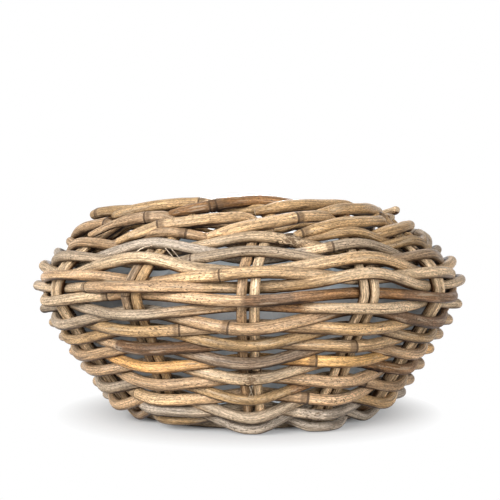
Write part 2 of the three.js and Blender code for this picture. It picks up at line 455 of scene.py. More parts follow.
def caneFields(cane, stations, joints, mark, worn, turn, radius, centre, spoke):
    # what the skin reads at each point: the cane unrolled, its tone from joint to joint, the
    # joints' dark rings and the soot beside them, worn bark, and how open it lies to the light,
    # which sets the painted shade and the painted highlight tint: outShare * outwards + upShare *
    # upwards
    outness = (spoke[..., :2] * unit(centre[:, :2])[:, None]).sum(-1)
    # above the rim the inner faces are counted as facing the light, so no painted shade falls on
    # them
    insideLit = np.interp(mark, cane["marks"], cane.get("insideLit", 0 * cane["marks"]))[:, None]
    outness = np.where(outness < 0, outness * (1 - caneForm["insideLitShare"] * insideLit), outness)
    openness = caneForm["outShare"] * outness + caneForm["upShare"] * spoke[..., 2]
    everyPoint = np.ones_like(radius)
    along = (stations + caneForm["coordStep"] * cane["seed"])[:, None] * everyPoint
    unrolled = np.stack([along, radius * np.cos(turn), radius * np.sin(turn)], -1)
    rng = np.random.default_rng(cane["seed"] + 4)
    lightness = rng.uniform(*caneForm["toneSpread"], len(joints) + 1)
    depth = rng.uniform(*caneForm["ringDepth"], len(joints))
    tone = readColumns(mark, cane["toneMarks"], cane["tones"])
    tone *= lightness[np.searchsorted(np.sort(joints), stations)][:, None]
    tone = np.concatenate([tone, np.ones((len(tone), 1))], 1)
    away = stations[:, None] - joints
    ring = (depth * bell(away, caneForm["ringLength"])).sum(1)
    soot = (depth * bell(away + caneForm["sootOffset"], caneForm["sootLength"])).sum(1)
    return {
        "caneCoords": ("FLOAT_VECTOR", unrolled),
        "caneTone": ("FLOAT_COLOR", tone[:, None] * everyPoint[..., None]),
        "caneJoint": ("FLOAT", np.clip(ring, 0, 1)[:, None] * everyPoint),
        "caneSoot": ("FLOAT", np.clip(soot, 0, 1)[:, None] * everyPoint),
        "caneWorn": ("FLOAT", worn[:, None] * everyPoint),
        "caneOpen": ("FLOAT", openness),
    }


def tubeFaces(count, sides, closed):
    # quads between neighbouring rings, and between the last and the first where the tube is closed
    first = np.arange(count if closed else count - 1)[:, None]
    after = (first + 1) % count
    here = np.arange(sides)[None]
    there = (here + 1) % sides
    start, end = first * sides, after * sides
    corners = (start + here, start + there, end + there, end + here)
    return np.stack(corners, -1).reshape(-1, 4)


def fillMesh(mesh, points, quads, caps=()):
    # points, quads and end faces put into the mesh as whole arrays, smooth but for the end faces
    loops = np.concatenate([quads.ravel(), *caps]).astype(np.int32)
    sizes = np.concatenate([np.full(len(quads), 4), [len(cap) for cap in caps]]).astype(np.int32)
    mesh.vertices.add(len(points))
    mesh.vertices.foreach_set("co", points.astype(np.float32).ravel())
    mesh.loops.add(len(loops))
    mesh.loops.foreach_set("vertex_index", loops)
    mesh.polygons.add(len(sizes))
    starts = np.concatenate([[0], np.cumsum(sizes)[:-1]]).astype(np.int32)
    mesh.polygons.foreach_set("loop_start", starts)
    mesh.polygons.foreach_set("use_smooth", np.arange(len(sizes)) < len(quads))
    if len(caps):
        onCap = np.arange(len(sizes)) >= len(quads)
        mesh.polygons.foreach_set("material_index", onCap.astype(np.int32))
    mesh.update(calc_edges=True)
    mesh.validate()


def giveAttribute(mesh, name, kind, values):
    # one value for each point of the mesh
    field = {"FLOAT": "value", "FLOAT_VECTOR": "vector", "FLOAT_COLOR": "color"}[kind]
    attribute = mesh.attributes.new(name, kind, "POINT")
    attribute.data.foreach_set(field, values.astype(np.float32).ravel())


def addObject(name, data):
    # a new object in the scene that holds the data
    holder = bpy.data.objects.new(name, data)
    bpy.context.scene.collection.objects.link(holder)
    return holder


def placePiece(name, mesh, node=None):
    # the mesh as a piece of the basket, standing for its solid if it has one
    piece = addObject(name, mesh)
    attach(piece, "root")
    if node:
        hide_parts(node)
    return piece


def layCane(name, node, slot, skin, path, facing, cane, closed=False):
    # one whole cane as its own piece: its rings joined to a tube, closed to a hoop or with a flat
    # face at each end
    rings, fields = caneRings(path, facing, cane)
    rings = rings[:-1] if closed else rings  # a closed cane's last ring is its first one again
    count, sides = rings.shape[:2]
    last = (count - 1) * sides
    caps = () if closed else (np.arange(sides)[::-1], last + np.arange(sides))
    mesh = bpy.data.meshes.new(name)
    mesh.materials.append(skin)
    mesh.materials.append(pith)
    fillMesh(mesh, rings.reshape(-1, 3), tubeFaces(count, sides, closed), caps)
    for label, (kind, values) in fields.items():
        giveAttribute(mesh, label, kind, values[:count])
    placePiece(name, mesh, node)


# uprights: pairs are numbered from the front; gaps are those between pairs, counted along the rim;
# leans aside, at lengths up the wall, are in millimetres; spans start from the top of the wall
uprights = {
    "radius": 0.0052,
    "pairOffset": 0.0063,
    "foldRadius": 0.011,
    "looseFold": 0.020,
    "looseLean": 0.012,
    "looseLengths": (0.2, 0.3),
    "wander": (0.007, 0.5),
    "wanderSeed": 700,
    "toneSeed": 100,
    "uneven": (0.05, 0.6),
    "rimThickening": 0.24,
    "thickLengths": (0.25, 0.31),
    "toneSpan": (-0.03, 0.01),
    # where, about the rim, the inner faces start to count as lit for the painted shade
    "insideLitSpan": (-0.005, 0.015),
    "climbSteps": 140,
    "foldSteps": 14,
    "runSteps": 90,
    "jointDraws": ((0.03, 0.25), (0.3, 0.12)),  # first place and spread
    "rimJoints": {
        ("stake", 1): (0.11, 0.3655),
        ("stake", 13): (0.19, 0.324),
        ("bye_stake", 2): (0.22, 0.4655, 0.4695),
        ("bye_stake", 13): (0.15, 0.486),
    },
    "rimWorn": {("bye_stake", 2): ((0.4675, 0.004, 1.0),)},
    "courseGrid": (-0.5, 3, 701),
    "softening": 0.2,
    "tipLength": 0.022,
    "bluntLength": 0.006,
    "tipShare": 0.4,
    "leanLengths": (0.0, 0.05, 0.09, 0.12, 0.155, 0.19, 0.215, 0.245, 0.265, 0.30),
    "leans": {
        1: (8, 8, 5, 3.5, 3, 3, 5, 12, 15, 20),
        2: (-4, -3, 1, 0, 2, 6, 3, 6, 9, 18),
        3: (-4, -4, -3, -2, 0, 1, -5, -9, -6, 10),
        4: (0, 0, 0, 0, 0, 0, 0, 0, 0, 8),
        12: (8, 8, 6, 3, 0, -2, 6, 10, 10, 22),
        13: (-2, -2, 8, 7, 6, 5, 15, 22, 24, 32),
    },
    "tones": {
        1: ("tan", "amber", "straw", "olive"),
        2: ("straw", "amber", "straw", "russet"),
        3: ("straw", "honey", "straw", "honey"),
        4: ("tan", "honey", "straw", "honey"),
        6: ("tan", "ash", "tan", "straw"),
        12: ("straw", "tan", "straw", "tan"),
        13: ("driftwood", "tan", "honey", "olive"),
    },
}
# the border's lower and upper layer: ends in gaps from the fold, and at the listed gaps the rises
# along the wall and the ways out of it, in millimetres; the upper one rises inside, arches over
# the next pair and runs down outside
layers = {
    "stake": {
        "side": -1,
        "foldAbove": 0.003,
        "outLength": 0.02,
        "skinSeed": 200,
        "blunt": (),
        "ends": {"usual": 1.5, 1: 1.42, 2: 1.42, 3: 1.48, 4: 1.62, 13: 1.02},
        "gaps": (0, 0.13, 0.32, 0.5, 0.77, 0.93, 1.05, 1.18, 1.35, 1.6),
        "rises": {
            "usual": (0, -2, -7, -12.5, -18.5, -22, -26, -30.5, -36, -44),
            1: (0, -3, -8.2, -14.5, -20, -22.8, -27.5, -34.5, -38.5, -46),
            2: (0, -0.5, -4.5, -9.8, -18.7, -24.3, -27.5, -31.2, -34, -40),
            3: (0, -1.5, -7.5, -12.5, -16.8, -19.3, -21.8, -26, -29.5, -35),
            4: (0, -2.5, -7, -10, -14.5, -17, -20, -22.5, -24.5, -26),
            13: (0, 0, -3.5, -8.5, -16, -28.5, -36, -42, -48, -54),
        },
        "outs": {"usual": (4, 6, 9, 12, 13, 13.5, 13, 12, 9, 3)},
    },
    "bye_stake": {
        "side": 1,
        "foldAbove": 0.0198,
        "skinSeed": 203,
        "blunt": (6, 13),
        "ends": {"usual": 2, 1: 2.2, 2: 2.12, 3: 2.05, 4: 2.3, 5: 1.3, 6: 1.35, 13: 2.05},
        "gaps": (0, 0.3, 0.6, 0.9, 1.15, 1.45, 1.7, 2, 2.3),
        "rises": {
            "usual": (0, 8, 14.5, 13.3, 9.5, 1.5, -7, -12, -16),
            1: (0, 6, 9.5, 13.6, 10, 1.3, -6.4, -9.5, -9),
            2: (0, 7, 12.5, 13.8, 11.6, 2.2, -8.3, -13.8, -15),
            3: (0, 10, 16.7, 12.5, 7.2, 0, -7, -14.2, -20),
            4: (0, 14, 14, 10, 6.5, 0.2, -5.6, -7.9, -11.5),
            5: (0, 6, 9, 7, 3.5, -4, -11, -15, -18),
            6: (0, 0, -9, -11, -9.5, -7, -7, -7, -7),
            13: (0, 6, 8, 6, 5, 0, -5, -10, -13),
        },
        "outs": {
            "usual": (0, -7, -4, -1, 2, 7, 10, 9, 5),
            **dict.fromkeys(range(1, 6), (0, -7, -4, -1, 2, 7, 10, 9, 6)),
            6: (0, 6, 26, 33, 35.5, 38, 38, 38, 38),
            13: (0, -7, -4, -1, 2, 8, 13, 16, 17),
        },
    },
}
rimGap = gapAngle * wallForm["rimRadius"]
usualTones = ["straw", "tan", "tan", "honey", "olive", "ash", "tan", "driftwood"]


def pairLean(pair, along):
    # the pair's shift aside at each length up the wall: its own list, or a slow drift and a lean
    # to the right
    if pair in uprights["leans"]:
        lean = np.array(uprights["leans"][pair]) * millimetre
        return np.interp(along, uprights["leanLengths"], lean)
    wander = drift(uprights["wanderSeed"] + pair, along, *uprights["wander"])
    return wander + uprights["looseLean"] * ease(along, *uprights["looseLengths"])


def foldRadius(pair):
    # the bend of a pair over the rim: tight where its lean is listed, looser elsewhere
    return uprights["foldRadius"] if pair in uprights["leans"] else uprights["looseFold"]


def softCourse(gaps, knots, values):
    # a course through the knots, rounded by averaging each place with its neighbours under a
    # raised cosine
    fine = np.linspace(*uprights["courseGrid"])
    plain = np.interp(fine, knots, np.array(values) * millimetre)
    reach = int(uprights["softening"] / 2 / (fine[1] - fine[0]))
    window = 1 + np.cos(np.linspace(-np.pi, np.pi, 2 * reach + 1))
    padded = np.pad(plain, reach, mode="edge")
    return np.interp(gaps, fine, np.convolve(padded, window / window.sum(), "valid"))


def ownOrUsual(table, pair):
    # the pair's own entry, or else the usual one
    return table.get(pair, table["usual"])


def rimCourse(layer, pair, turned):
    # rise along the wall and way out of it, by the distance run round the rim
    gaps = turned / rimGap
    rise = softCourse(gaps, layer["gaps"], ownOrUsual(layer["rises"], pair))
    out = softCourse(gaps, layer["gaps"], ownOrUsual(layer["outs"], pair))
    bend = foldRadius(pair)
    return rise * ease(turned, 0, bend), out * ease(turned, 0, layer.get("outLength", bend))


def uprightPath(layer, pair):
    # up the wall, a quarter fold to the left, then round the rim along its course
    bend = foldRadius(pair)
    foldStart = wallLength + layer["foldAbove"] + uprights["foldRadius"] - bend
    climb = np.linspace(0, foldStart, uprights["climbSteps"])
    fold = np.linspace(0, np.pi / 2, uprights["foldSteps"])[1:]
    runEnd = ownOrUsual(layer["ends"], pair) * rimGap
    run = np.linspace(bend, runEnd, uprights["runSteps"])[1:]
    turned = np.concatenate([0 * climb, bend * (1 - np.cos(fold)), run])
    onRim = turned > 0
    rise, out = rimCourse(layer, pair, turned)
    rimAlong = np.full(len(run), foldStart + bend)
    along = np.concatenate([climb, foldStart + bend * np.sin(fold), rimAlong]) + rise
    aside = layer["side"] * uprights["pairOffset"] + pairLean(pair, climb)
    aside = np.pad(aside, (0, onRim.sum()), mode="edge")
    leftwards = np.where(onRim, aside - turned, 0)
    angle = firstAngle + (pair - 1) * gapAngle + leftwards / wallForm["rimRadius"]
    point, outward = onWall(along, out, angle, np.where(onRim, 0, aside))
    return point, outward, along + turned


def toneRow(names):
    # the named tones as rows of an array
    return np.array([linearTones[name] for name in names])


def drawnTones(rng, count):
    # names drawn from the usual tones
    return [usualTones[i] for i in rng.integers(0, len(usualTones), count)]


for pair in range(1, pairCount + 1):
    rng = np.random.default_rng(uprights["toneSeed"] + pair)
    drawn = drawnTones(rng, 4)
    tones = uprights["tones"].get(pair, drawn)
    for kind, (wallTone, rimTone) in zip(layers, (tones[:2], tones[2:])):
        layer = layers[kind]
        path, facing, marks = uprightPath(layer, pair)
        seed = layer["skinSeed"] + 10 * pair
        tipLength = uprights["bluntLength" if pair in layer["blunt"] else "tipLength"]
        taper = 1 - uprights["tipShare"] * ease(marks, marks[-1] - tipLength, marks[-1])
        thick = 1 + drift(seed + 5, marks, *uprights["uneven"])
        thick = thick + uprights["rimThickening"] * ease(marks, *uprights["thickLengths"])
        joints = [first + spread * rng.random() for first, spread in uprights["jointDraws"]]
        cane = {
            "seed": seed,
            "marks": marks,
            "radius": uprights["radius"] * thick * taper,
            "joints": np.array(uprights["rimJoints"].get((kind, pair), joints)),
            "toneMarks": np.append(0, wallLength + np.array(uprights["toneSpan"])),
            "tones": toneRow((wallTone, wallTone, rimTone)),
            "worn": uprights["rimWorn"].get((kind, pair), ()),
            "insideLit": ease(marks, *(wallLength + np.array(uprights["insideLitSpan"]))),
        }
        node = f"{kind}_{pair:02d}"
        layCane(f"cane_{node}", node, "rattan_stake", stakeSkin, path, facing, cane)
print("uprights laid:", 2 * pairCount)

# weave: lengths up the wall, in millimetres, at which the rows pass the even and the odd pairs
weave = {
    "depth": 0.0108,
    "lowest": 0.0064,
    "sharpness": 0.05,
    "startPair": 6,
    "rows": 22,
    "rowsPerWeaver": 2,
    "firstRow": -0.77,
    "endGap": 0.0015,
    "stepsPerGap": 36,
    "evenRows": np.append(np.arange(-1.46, 21, 2), 22),
    "evenLengths": (
        3.5, 26.2, 49.1, 72.6, 96.8, 117.2, 139.1, 159.5, 187.1, 209.7, 229.4, 251.2, 265,
    ),
    "oddRows": np.append(np.arange(-0.46, 22, 2), 22),
    "oddLengths": (
        29, 48.8, 66.4, 90, 113, 134.6, 155.9, 177, 201.9, 222.5, 242.1, 260.4, 265,
    ),
    # slow swings: size, waves round, turn for each row and start
    "swings": ((0.9, 3, 0.12, 0), (0.6, 5, -0.15, 1)),
    "uneven": (0.05, 7.0),
    "lapReach": 0.4,
    "jointTurns": (1.2, 2.6),
    "jointDraws": 12,
    "frontDegrees": 75,  # joints are drawn only behind this
    "endTurn": 0.1,
    "toneDegrees": (-165, -100, -70, -22, -12, 12, 22, 70, 100, 165),
    "toneStep": 0.5,
    "toneEdge": 0.5,
    "toneSeed": 31,
    "jointSeed": 500,
    "skinSeed": 1000,
    "unevenSeed": 1500,
}
# tones of each row at the left, the front and the right, from the floor up; the first is row -1
rowTones = (
    ("olive", "silver", "silver"),
    ("tan", "silver", "silver"),
    ("silver", "ash", "silver"),
    ("tan", "ash", "honey"),
    ("amber", "tan", "tan"),
    ("ash", "olive", "tan"),
    ("tan", "tan", "tan"),
    ("tan", "straw", "chestnut"),
    ("gold", "gold", "maize"),
    ("tan", "smoke", "tan"),
    ("tan", "tan", "honey"),
    ("honey", "olive", "olive"),
    ("olive", "tan", "honey"),
    ("ash", "tan", "umber"),
    ("ash", "tan", "straw"),
    ("straw", "straw", "umber"),
    ("straw", "honey", "straw"),
    ("tan", "amber", "straw"),
    ("straw", "straw", "amber"),
    ("ash", "ash", "driftwood"),
    ("silver", "silver", "ash"),
    ("tan", "straw", "olive"),
    ("tan", "tan", "honey"),
)
# stretches of a row in another tone: row, degrees from and to
toneStretches = (
    (15, -40.4, -10, "tan"),
    (14, -35.2, -1.5, "tan"),
    (14, -1.5, 75, "umber"),
    (14, 9, 38, "chestnut"),
    (13, 1.0, 12.0, "chestnut"),
    (9, -35.5, -10, "umber"),
    (19, 14.0, 20.6, "straw"),
    (4, 12.0, 18.0, "chestnut"),
)
# thickness of each row, in millimetres, from row -1 up
rowThickness = (
    10.4, 11.2, 11.6, 12.8, 12.7, 12.3, 13.2, 12.7, 12.1, 12.5, 12.1, 11.6,
    12.5, 12.8, 11.3, 12.0, 12.4, 12.0, 13.0, 11.4, 11.4, 11.6, 11.2,
)
# joints seen at the front: row, and degrees round from the middle
frontJoints = (
    (15, -40.4), (14, -35.2), (21, -16.8), (18, -13.5), (16, -6.0), (12, -4.5), (11, -16.6),
    (7, 17.7), (19, 20.6), (9, 26.4), (3, 18.0), (4, 38.9), (3, -39.0),
)
# rows bent up or down from their level: row, degrees, spread in degrees, millimetres
rowNudges = (
    (15, -29, 16, -3.5), (15, 26.7, 12, 6.0), (16, -24, 10, -7.0), (16, 27, 10, -3.0),
    (13, -29, 14, -2.0), (13, 26.7, 14, 2.0), (7, -29, 14, -2.0), (7, 26.7, 14, 2.0),
    (5, -29, 14, -1.5), (5, 26.7, 14, -2.0), (21, -24, 10, -1.5), (3, -29, 14, 1.5),
    (3, 27, 14, -2.3), (1, -29, 14, 4.5), (1, 27, 14, -3.3), (-1, -29, 14, 10.0), (-1, 30, 13, 5.0),
    (4, 0, 12, -3.5), (2, 0, 12, -3.0), (0, 0, 13, 6.0), (16, -8, 6, -2.0), (17, -12.5, 6, -3.5),
)
# bark torn or rough: row, degrees, spread in degrees, strength
frontWorn = (
    (20, 10.5, 4.5, 1.3), (6, 40.0, 5.0, 1.0), (6, 0.3, 2.8, 1.1), (1, 22.0, 6.0, 0.7),
    (15, 7.0, 2.5, 0.4),
)
# rows pushed out of the wall: row, degrees, spread in degrees, millimetres
rowPushes = ((-1, 30, 13, 9.0), (0, 0, 13, 4.5), (0, 38, 10, 3.0))
# a new cane laid over the last one: row, degrees, thickness before and after
lapEnds = ((9, -35.5, 0.84, 1.06), (4, 12.0, 0.88, 1.04))


def turnAt(row, degrees):
    # the spiral's turn at a row of the front, in radians from where it starts at the back
    return 2 * np.pi * (row + 1) - weave["startPair"] * gapAngle + np.radians(degrees) - firstAngle


def nearPlace(turned, row, degrees, spread):
    # 1 at a place of the weave, falling off to both sides as a bell
    return bell(turned - turnAt(row, degrees), np.radians(spread))


def fromFront(turned):
    # the spiral's angle round from the front pair, within half a turn to either side
    return np.mod(weave["startPair"] * gapAngle + turned + np.pi, 2 * np.pi) - np.pi


def rowLength(turned):
    # length up the wall: between the even and odd pairs' levels by the wave of the pairs, with
    # slow swings round the basket and the nudges as bells
    row = turned / (2 * np.pi)
    even = np.interp(row, weave["evenRows"], weave["evenLengths"])
    odd = np.interp(row, weave["oddRows"], weave["oddLengths"])
    around = fromFront(turned)
    atEven = 0.5 + 0.5 * np.cos(np.pi * around / gapAngle)
    swing = 0 * row
    for size, waves, tilt, start in weave["swings"]:
        swing = swing + size * np.sin(waves * around + tilt * row + start)
    for place, degrees, spread, size in rowNudges:
        swing = swing + size * nearPlace(turned, place, degrees, spread)
    return millimetre * (odd + (even - odd) * atEven + swing)


def weaverPath(turned):
    # a spiral on the wall that swings out of it as minus the cosine of the pairs passed, sharpened
    # by a third harmonic, so that it lies outside one pair and inside the next
    along = rowLength(turned)
    angle = weave["startPair"] * gapAngle + turned
    radius = np.interp(along, wallAlong, wallLine[:, 0])
    passed = angle / gapAngle
    before = np.floor(passed).astype(int)
    leans = np.stack([pairLean(pair, along) for pair in range(1, pairCount + 1)])
    places = np.arange(len(turned))
    leanBefore = leans[before % pairCount, places]
    leanAfter = leans[(before + 1) % pairCount, places]
    shift = leanBefore + (leanAfter - leanBefore) * (passed - before)
    phase = np.pi * (passed - shift / (radius * gapAngle))
    sharp = weave["sharpness"]
    side = -(np.cos(phase) + sharp * np.cos(3 * phase)) / (1 + sharp)
    out = weave["depth"] * side
    for place, degrees, spread, size in rowPushes:
        out = out + millimetre * size * nearPlace(turned, place, degrees, spread)
    point, outward = onWall(along, out, firstAngle + angle)
    point[:, 2] = np.maximum(point[:, 2], weave["lowest"])
    return point, outward


markTurns, markTones = [], []
toneRng = np.random.default_rng(weave["toneSeed"])
for row, (left, middle, right) in enumerate(rowTones, -1):
    back, otherBack = (usualTones[toneRng.integers(0, len(usualTones))] for side in range(2))
    markTurns.append(turnAt(row, np.array(weave["toneDegrees"])))
    markTones.append(toneRow(np.repeat([back, left, middle, right, otherBack], 2)))
markTurns, markTones = np.concatenate(markTurns), np.concatenate(markTones)
toneTurns = np.arange(markTurns[0], markTurns[-1], np.radians(weave["toneStep"]))
toneValues = readColumns(toneTurns, markTurns, markTones)
for row, start, end, name in toneStretches:
    edge = weave["toneEdge"]
    share = ease(toneTurns, turnAt(row, start - edge), turnAt(row, start + edge))
    share = share * (1 - ease(toneTurns, turnAt(row, end - edge), turnAt(row, end + edge)))
    toneValues += share[:, None] * (linearTones[name] - toneValues)

weaverCount = weave["rows"] // weave["rowsPerWeaver"]
gapTurn = weave["endGap"] / wallForm["footRadius"]
rowTurns = turnAt(np.arange(len(rowThickness)) - 1, 0)
seenJoints = np.array([turnAt(row, degrees) for row, degrees in frontJoints])
for weaver in range(weaverCount):
    rng = np.random.default_rng(weave["jointSeed"] + weaver)
    firstTurn = 2 * np.pi * weave["rowsPerWeaver"] * weaver
    lastTurn = firstTurn + 2 * np.pi * weave["rowsPerWeaver"]
    if weaver == 0:
        firstTurn = 2 * np.pi * weave["firstRow"]
    count = int((lastTurn - firstTurn) / gapAngle * weave["stepsPerGap"])
    turned = np.linspace(firstTurn + gapTurn, lastTurn - gapTurn, count)
    path, facing = weaverPath(turned)
    radius = np.interp(turned, rowTurns, np.array(rowThickness) * millimetre / 2)
    for row, degrees, before, after in lapEnds:
        past = turned - turnAt(row, degrees)
        near = bell(past, weave["lapReach"])
        radius = radius * (1 + near * np.where(past < 0, before - 1, after - 1))
    uneven = drift(weave["unevenSeed"] + weaver, turned, *weave["uneven"])
    hidden = firstTurn + np.cumsum(rng.uniform(*weave["jointTurns"], weave["jointDraws"]))
    behind = np.abs(fromFront(hidden)) > np.radians(weave["frontDegrees"])
    hidden = hidden[behind & (hidden < lastTurn - weave["endTurn"])]
    seen = seenJoints[(seenJoints > firstTurn) & (seenJoints < lastTurn)]
    worn = [
        (turnAt(row, degrees), np.radians(spread), strength)
        for row, degrees, spread, strength in frontWorn
        if firstTurn < turnAt(row, degrees) < lastTurn
    ]
    cane = {
        "seed": weave["skinSeed"] + 10 * weaver,
        "marks": turned,
        "radius": radius * (1 + uneven),
        "joints": np.sort(np.concatenate([hidden, seen])),
        "toneMarks": toneTurns,
        "tones": toneValues,
        "worn": worn,
    }
    node = f"weaver_{weaver + 1:02d}"
    layCane(f"cane_{node}", node, "rattan_weaver", weaverSkin, path, facing, cane)
print("weavers laid:", weaverCount)

# strips of bark hanging from a row onto the next one that shows below: row and degrees of both
# ends, then thickness and bulge in millimetres
barkStrips = (
    (19, -20.9, 17, -16.6, 1.1, 0.0), (19, -19.3, 17, -15.0, 1.0, 0.0),
    (19, -23.4, 17, -25.6, 2.0, 2.0), (6, 0.0, 4, 1.3, 1.0, 1.0), (6, 1.0, 4, -0.3, 0.9, 0.5),
)
stripForm = {
    "reach": 0.0054,
    "under": (0.5, -0.85),  # shares of the reach outwards and upwards, where it hangs
    "onto": (0.6, 0.76),  # and where it lies
    "steps": 16,
    "tip": 0.5,
    "skinSeed": 2100,
}


def stripPath(row, degrees, lowerRow, lowerDegrees, bulge):
    # from the underside of one row to the top of another:
    # start + (end - start) t + 4 bulge t (1 - t) outward
    ends, outward = weaverPath(np.array([turnAt(row, degrees), turnAt(lowerRow, lowerDegrees)]))
    shares = np.array([stripForm["under"], stripForm["onto"]])
    moved = shares[:, :1] * outward + shares[:, 1:] * np.array([0, 0, 1])
    ends = ends + stripForm["reach"] * moved
    t = np.linspace(0, 1, stripForm["steps"])[:, None]
    facing = np.tile(outward[0], (stripForm["steps"], 1))
    bowed = 4 * millimetre * bulge * t * (1 - t) * outward[0]
    return ends[0] + (ends[1] - ends[0]) * t + bowed, facing, t[:, 0]


for number, (*ends, thickness, bulge) in enumerate(barkStrips, 1):
    path, facing, marks = stripPath(*ends, bulge)
    strip = {
        "seed": stripForm["skinSeed"] + 10 * number,
        "marks": marks,
        "radius": millimetre / 2 * thickness * (1 - stripForm["tip"] * marks),
        "joints": np.array([]),
        "toneMarks": np.array([0, 1]),
        "tones": toneRow(("bone", "bone")),
    }
    layCane(f"bark_strip_{number:02d}", None, "rattan_weaver", weaverSkin, path, facing, strip)
print("bark strips laid:", len(barkStrips))

base = {
    "hoopRadius": 0.146,
    "hoopThickness": 0.0059,
    "hoopLevel": 0.0064,
    "hoopSteps": 400,
    "hoopJoints": (1.1, 3.4, 5.2),
    "hoopSeed": 1900,
    "slatCount": 9,
    "slatSpacing": 0.026,
    "slatRadius": 0.005,
    "slatLevel": 0.0055,
    "slatReach": 0.1386,
    "slatSteps": 60,
    "slatBow": (0.0012, 0.3),
    "slatSeeds": (1950, 1960, 2000),  # draws, bow and skin
    "jointReach": 0.7,
    "slimness": 0.97,
}
hoopTurn = np.linspace(0, 2 * np.pi, base["hoopSteps"])
hoopOut = np.stack([np.sin(hoopTurn), -np.cos(hoopTurn), 0 * hoopTurn], 1)
hoopPath = base["hoopRadius"] * hoopOut + np.array([0, 0, base["hoopLevel"]])
hoopCane = {
    "seed": base["hoopSeed"],
    "marks": hoopTurn,
    "radius": np.full(len(hoopTurn), base["hoopThickness"] * base["slimness"]),
    "joints": np.array(base["hoopJoints"]),
    "toneMarks": np.array([0, np.pi, 2 * np.pi]),
    "tones": toneRow(("ash", "tan", "ash")),
}
hoop = (hoopPath, hoopOut, hoopCane)
layCane("cane_base_hoop", "base_hoop", "rattan_base", baseSkin, *hoop, closed=True)
drawSeed, bowSeed, skinSeed = base["slatSeeds"]
for slat in range(base["slatCount"]):
    rng = np.random.default_rng(drawSeed + slat)
    aside = (slat - (base["slatCount"] - 1) / 2) * base["slatSpacing"]
    half = np.sqrt(base["slatReach"] ** 2 - (abs(aside) + base["slatRadius"]) ** 2)
    across = np.linspace(-half, half, base["slatSteps"])
    bow = drift(bowSeed + slat, across, *base["slatBow"])
    path = np.stack([across, aside + bow, np.full(len(across), base["slatLevel"])], 1)
    facing = np.tile([0.0, 0.0, 1.0], (len(across), 1))
    cane = {
        "seed": skinSeed + 5 * slat,
        "marks": across,
        "radius": np.full(len(across), base["slatRadius"] * base["slimness"]),
        "joints": np.array([half * rng.uniform(-base["jointReach"], base["jointReach"])]),
        "toneMarks": np.array([-half, half]),
        "tones": toneRow(drawnTones(rng, 2)),
    }
    node = f"base_slat_{slat + 1:02d}"
    layCane(f"cane_{node}", node, "rattan_base", baseSkin, path, facing, cane)
print("base laid: hoop and", base["slatCount"], "slats")

film = {
    "floorLevel": 0.0116,
    "floorShare": 0.3,  # of the steps from the middle to the edge
    "floorFold": 6,
    "floorCrumple": 0.0006,
    "startAlong": 0.0083,
    "rise": 0.012,
    "inset": 0.0176,
    "steps": 120,
    "turns": 480,
    "crumple": 0.0022,
    "crumpleFrom": (0, 0.1),
    "crumpleSeeds": (77, 78),  # wall and floor
    "crumpleSlant": 0.6,
    "crumpleGain": 2.4,
    "creases": 14,
    "creaseLengths": (0.03, 0.12),
    "edgeWave": 0.002,
    "edgeClimbs": (0.8, 1),
    "edgeWaves": ((1, 5, 1), (0.6, 11, 0), (0.4, 23, 2)),  # size, waves round and start
    "flat": (0.78, 0.78),
    "flatArea": 0.478,
    "tone": (0.88, 0.93, 0.96, 1),
    "deepTone": (0.58, 0.67, 0.73, 1),
    "creaseGlintTone": (0.92, 0.94, 0.95, 1),
    "leftDarkTone": (0.2, 0.22, 0.23, 1),
    "leftDarkRange": (-0.15, 0.08, 0.45, 0.0),  # across the basket, and the darkening's share there
    # painted shade: the tone the film turns to where little light reaches it
    "dimTone": (0.08, 0.056, 0.038, 1),
    "dimClimbs": (0.2, 0.45, 0.6, 0.75, 0.86),  # shares of the way up the wall
    "dimShares": (0.4, 0.34, 0.28, 0.7, 1.0),
    "dimStart": (0, 0.06),
    "dimSides": (-0.5, 0.5),
    "roughness": 0.16,
    "specular": 0.3,
    "cloudScale": 26.0,
    "cloudDetail": 4.0,
    "cloudRange": (0.36, 0.64),
    "creaseScale": 42.0,
    "creaseGlintRange": (0.0, 0.05, 0.5, 0.0),
    "hollowRange": (0.0, 0.3),
    "hollowShare": 0.6,
    "reliefStrength": 0.7,
    "reliefDepth": 0.004,
    "through": 0.65,
}


def crumple(seed, across, up):
    # faceted creases: triangle waves of many directions and lengths, added up, within about -1 to 1
    rng = np.random.default_rng(seed)
    heading = rng.uniform(0, np.pi, film["creases"])
    length = rng.uniform(*film["creaseLengths"], film["creases"])
    start = rng.uniform(0, 1, film["creases"])
    run = across[..., None] * np.cos(heading) + up[..., None] * np.sin(heading)
    wave = 4 * np.abs(np.mod(run / length + start, 1) - 0.5) - 1
    return (wave * length).sum(-1) / length.sum() * film["crumpleGain"]


